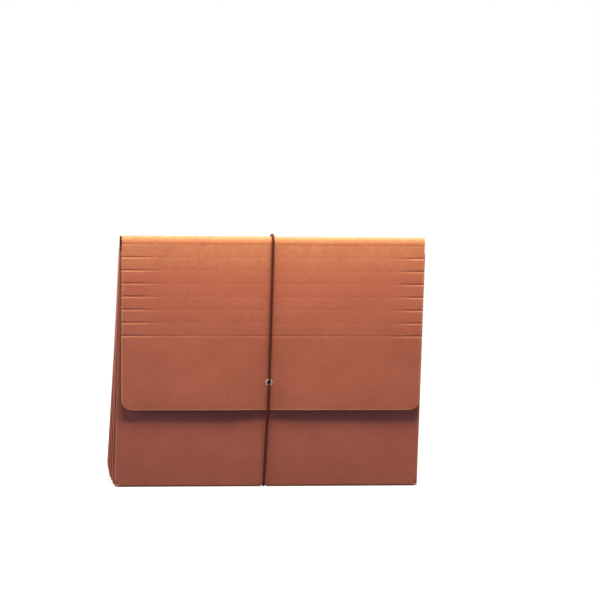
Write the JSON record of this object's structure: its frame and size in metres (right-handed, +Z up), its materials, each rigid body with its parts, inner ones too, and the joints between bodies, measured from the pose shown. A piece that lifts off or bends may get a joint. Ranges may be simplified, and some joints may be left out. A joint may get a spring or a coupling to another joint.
{
  "type": "expanding file wallet",
  "caption": "Free-standing paper file wallet with pleated gussets, a scored fold-over flap, an eyelet and an elastic cord that holds it shut.",
  "frame": {"origin": "under the middle of the base, on the surface it stands on", "axes": "+X along the wallet's width, -Y out of its front, +Z up"},
  "size_m": [0.2982, 0.0506, 0.2448],
  "materials": {
    "panel_paper": "matt red-brown fibre paper with pressed scores",
    "gusset_paper": "matt red-brown fibre paper, folded",
    "eyelet_metal": "nickel plate",
    "elastic": "braided elastic cord"
  },
  "bodies": {
    "pocket": {"back_panel": "panel_paper", "bottom_panel": "panel_paper", "left_gusset_leaf_1": "gusset_paper", "left_gusset_leaf_2": "gusset_paper", "left_gusset_leaf_3": "gusset_paper", "left_gusset_leaf_4": "gusset_paper", "left_gusset_leaf_5": "gusset_paper", "left_gusset_leaf_6": "gusset_paper", "left_gusset_leaf_7": "gusset_paper", "left_gusset_leaf_8": "gusset_paper", "right_gusset_leaf_1": "gusset_paper", "right_gusset_leaf_2": "gusset_paper", "right_gusset_leaf_3": "gusset_paper", "right_gusset_leaf_4": "gusset_paper", "right_gusset_leaf_5": "gusset_paper", "right_gusset_leaf_6": "gusset_paper", "right_gusset_leaf_7": "gusset_paper", "right_gusset_leaf_8": "gusset_paper", "flap_bend": "panel_paper", "elastic_cord": "elastic"},
    "front": {"front_panel": "panel_paper"},
    "flap_upper": {"flap_strip_1": "panel_paper", "flap_strip_2": "panel_paper", "flap_strip_3": "panel_paper"},
    "flap_middle": {"flap_strip_4": "panel_paper", "flap_strip_5": "panel_paper"},
    "flap_lower": {"flap_strip_6": "panel_paper", "flap_strip_7": "panel_paper"},
    "tongue": {"flap_tongue": "panel_paper", "eyelet": "eyelet_metal", "elastic_knot": "elastic"}
  },
  "joints": [
    {"name": "flap_fold", "type": "hinge", "parent": "pocket", "child": "flap_upper", "pos_m": [0, -0.00158, 0.23678], "axis": [-1, 0, 0], "range_deg": [0, 165], "deforming": ["flap_bend"]},
    {"name": "upper_score_fold", "type": "hinge", "parent": "flap_upper", "child": "flap_middle", "pos_m": [0, -0.00923, 0.19918], "axis": [1, 0, 0], "range_deg": [0, 16.5]},
    {"name": "lower_score_fold", "type": "hinge", "parent": "flap_middle", "child": "flap_lower", "pos_m": [0, -0.01131, 0.17387], "axis": [1, 0, 0], "range_deg": [0, 16.5]},
    {"name": "tongue_score_fold", "type": "hinge", "parent": "flap_lower", "child": "tongue", "pos_m": [0, -0.01338, 0.14855], "axis": [1, 0, 0], "range_deg": [0, 16.5]},
    {"name": "front_panel_swing", "type": "hinge", "parent": "pocket", "child": "front", "pos_m": [0, -0.023, 0], "axis": [1, 0, 0], "range_deg": [0, 9.07], "deforming": ["left_gusset_leaf_1", "left_gusset_leaf_2", "left_gusset_leaf_3", "left_gusset_leaf_4", "left_gusset_leaf_5", "left_gusset_leaf_6", "left_gusset_leaf_7", "left_gusset_leaf_8", "right_gusset_leaf_1", "right_gusset_leaf_2", "right_gusset_leaf_3", "right_gusset_leaf_4", "right_gusset_leaf_5", "right_gusset_leaf_6", "right_gusset_leaf_7", "right_gusset_leaf_8", "elastic_cord"]}
  ],
  "couplings": [
    {"joint": "upper_score_fold", "follows": "flap_fold", "ratio": 0.1},
    {"joint": "lower_score_fold", "follows": "flap_fold", "ratio": 0.1},
    {"joint": "tongue_score_fold", "follows": "flap_fold", "ratio": 0.1},
    {"joint": "front_panel_swing", "follows": "flap_fold", "ratio": 0.055}
  ]
}
